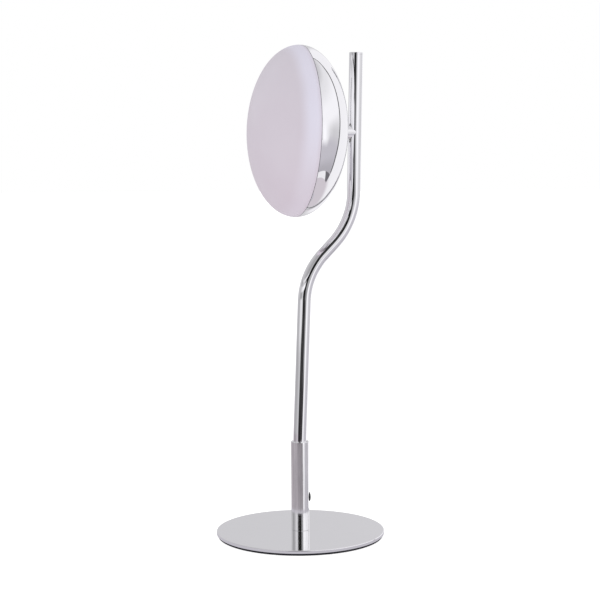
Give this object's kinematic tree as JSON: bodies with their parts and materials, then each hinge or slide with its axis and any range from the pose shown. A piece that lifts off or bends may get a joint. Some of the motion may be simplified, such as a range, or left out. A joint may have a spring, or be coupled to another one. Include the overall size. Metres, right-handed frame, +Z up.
{
  "type": "lighted vanity mirror",
  "caption": "Table vanity light with a lens-shaped head, opal in front and mirror-polished behind, on a ball joint, an S-bent tube stem, a sleeve and a round base.",
  "frame": {"origin": "middle of the round base, on the surface that the object stands on", "axes": "+Z up, -Y the way the lit front faces, +X to the right as seen from the front"},
  "size_m": [0.18, 0.18, 0.5219],
  "materials": {
    "polished_metal": "polished",
    "opal_diffuser": "satin",
    "base_rubber": "matte",
    "black_rubber": "matte",
    "steel_fixings": "satin",
    "polished_steel": "polished",
    "inner_aluminium": "satin",
    "white_plastic": "satin",
    "nylon_bearing": "satin",
    "driver_case": "matte",
    "light_board": "satin",
    "lead_sheath": "satin"
  },
  "bodies": {
    "base": {"base_plate": "polished_metal", "base_pad": "base_rubber", "base_bolt": "steel_fixings", "sleeve_plug": "steel_fixings", "stem_sleeve": "polished_metal", "cord_bushing": "black_rubber", "stem_foot_bush": "nylon_bearing", "stem_set_screw": "steel_fixings"},
    "stem": {"stem_tube": "polished_metal", "stem_top_cap": "polished_metal", "neck_stub": "polished_metal", "swivel_ball": "polished_steel", "stem_lead": "lead_sheath"},
    "liner": {"ball_liner": "nylon_bearing"},
    "head": {"rear_shell": "polished_metal", "socket_rear": "inner_aluminium", "socket_front": "inner_aluminium", "socket_screw_1": "steel_fixings", "socket_screw_2": "steel_fixings", "socket_screw_3": "steel_fixings", "mount_post_1": "inner_aluminium", "mount_post_2": "inner_aluminium", "mount_post_3": "inner_aluminium", "mount_plate": "inner_aluminium", "plate_screw_1": "steel_fixings", "plate_screw_2": "steel_fixings", "plate_screw_3": "steel_fixings", "led_board": "light_board", "board_screw_1": "steel_fixings", "board_screw_2": "steel_fixings", "board_screw_3": "steel_fixings", "reflector": "white_plastic", "diffuser_ring": "white_plastic", "ring_screw_1": "steel_fixings", "ring_screw_2": "steel_fixings", "ring_screw_3": "steel_fixings", "led_driver": "driver_case", "driver_screw_1": "steel_fixings", "driver_screw_2": "steel_fixings", "terminal_block": "white_plastic", "head_lead": "lead_sheath", "driver_lead": "lead_sheath", "led_lead": "lead_sheath", "diffuser": "opal_diffuser"}
  },
  "joints": [
    {"name": "stem_swivel", "type": "hinge", "parent": "base", "child": "stem", "pos_m": [0, 0, 0.057], "axis": [0, 0, 1], "range_deg": [-175, 175]},
    {"name": "head_pan", "type": "hinge", "parent": "stem", "child": "liner", "pos_m": [0, 0.0344, 0.4307], "axis": [0, 0, 1], "range_deg": [-15, 15]},
    {"name": "head_tilt", "type": "hinge", "parent": "liner", "child": "head", "pos_m": [0, 0.0344, 0.4307], "axis": [1, 0, 0], "range_deg": [-13, 17]}
  ]
}
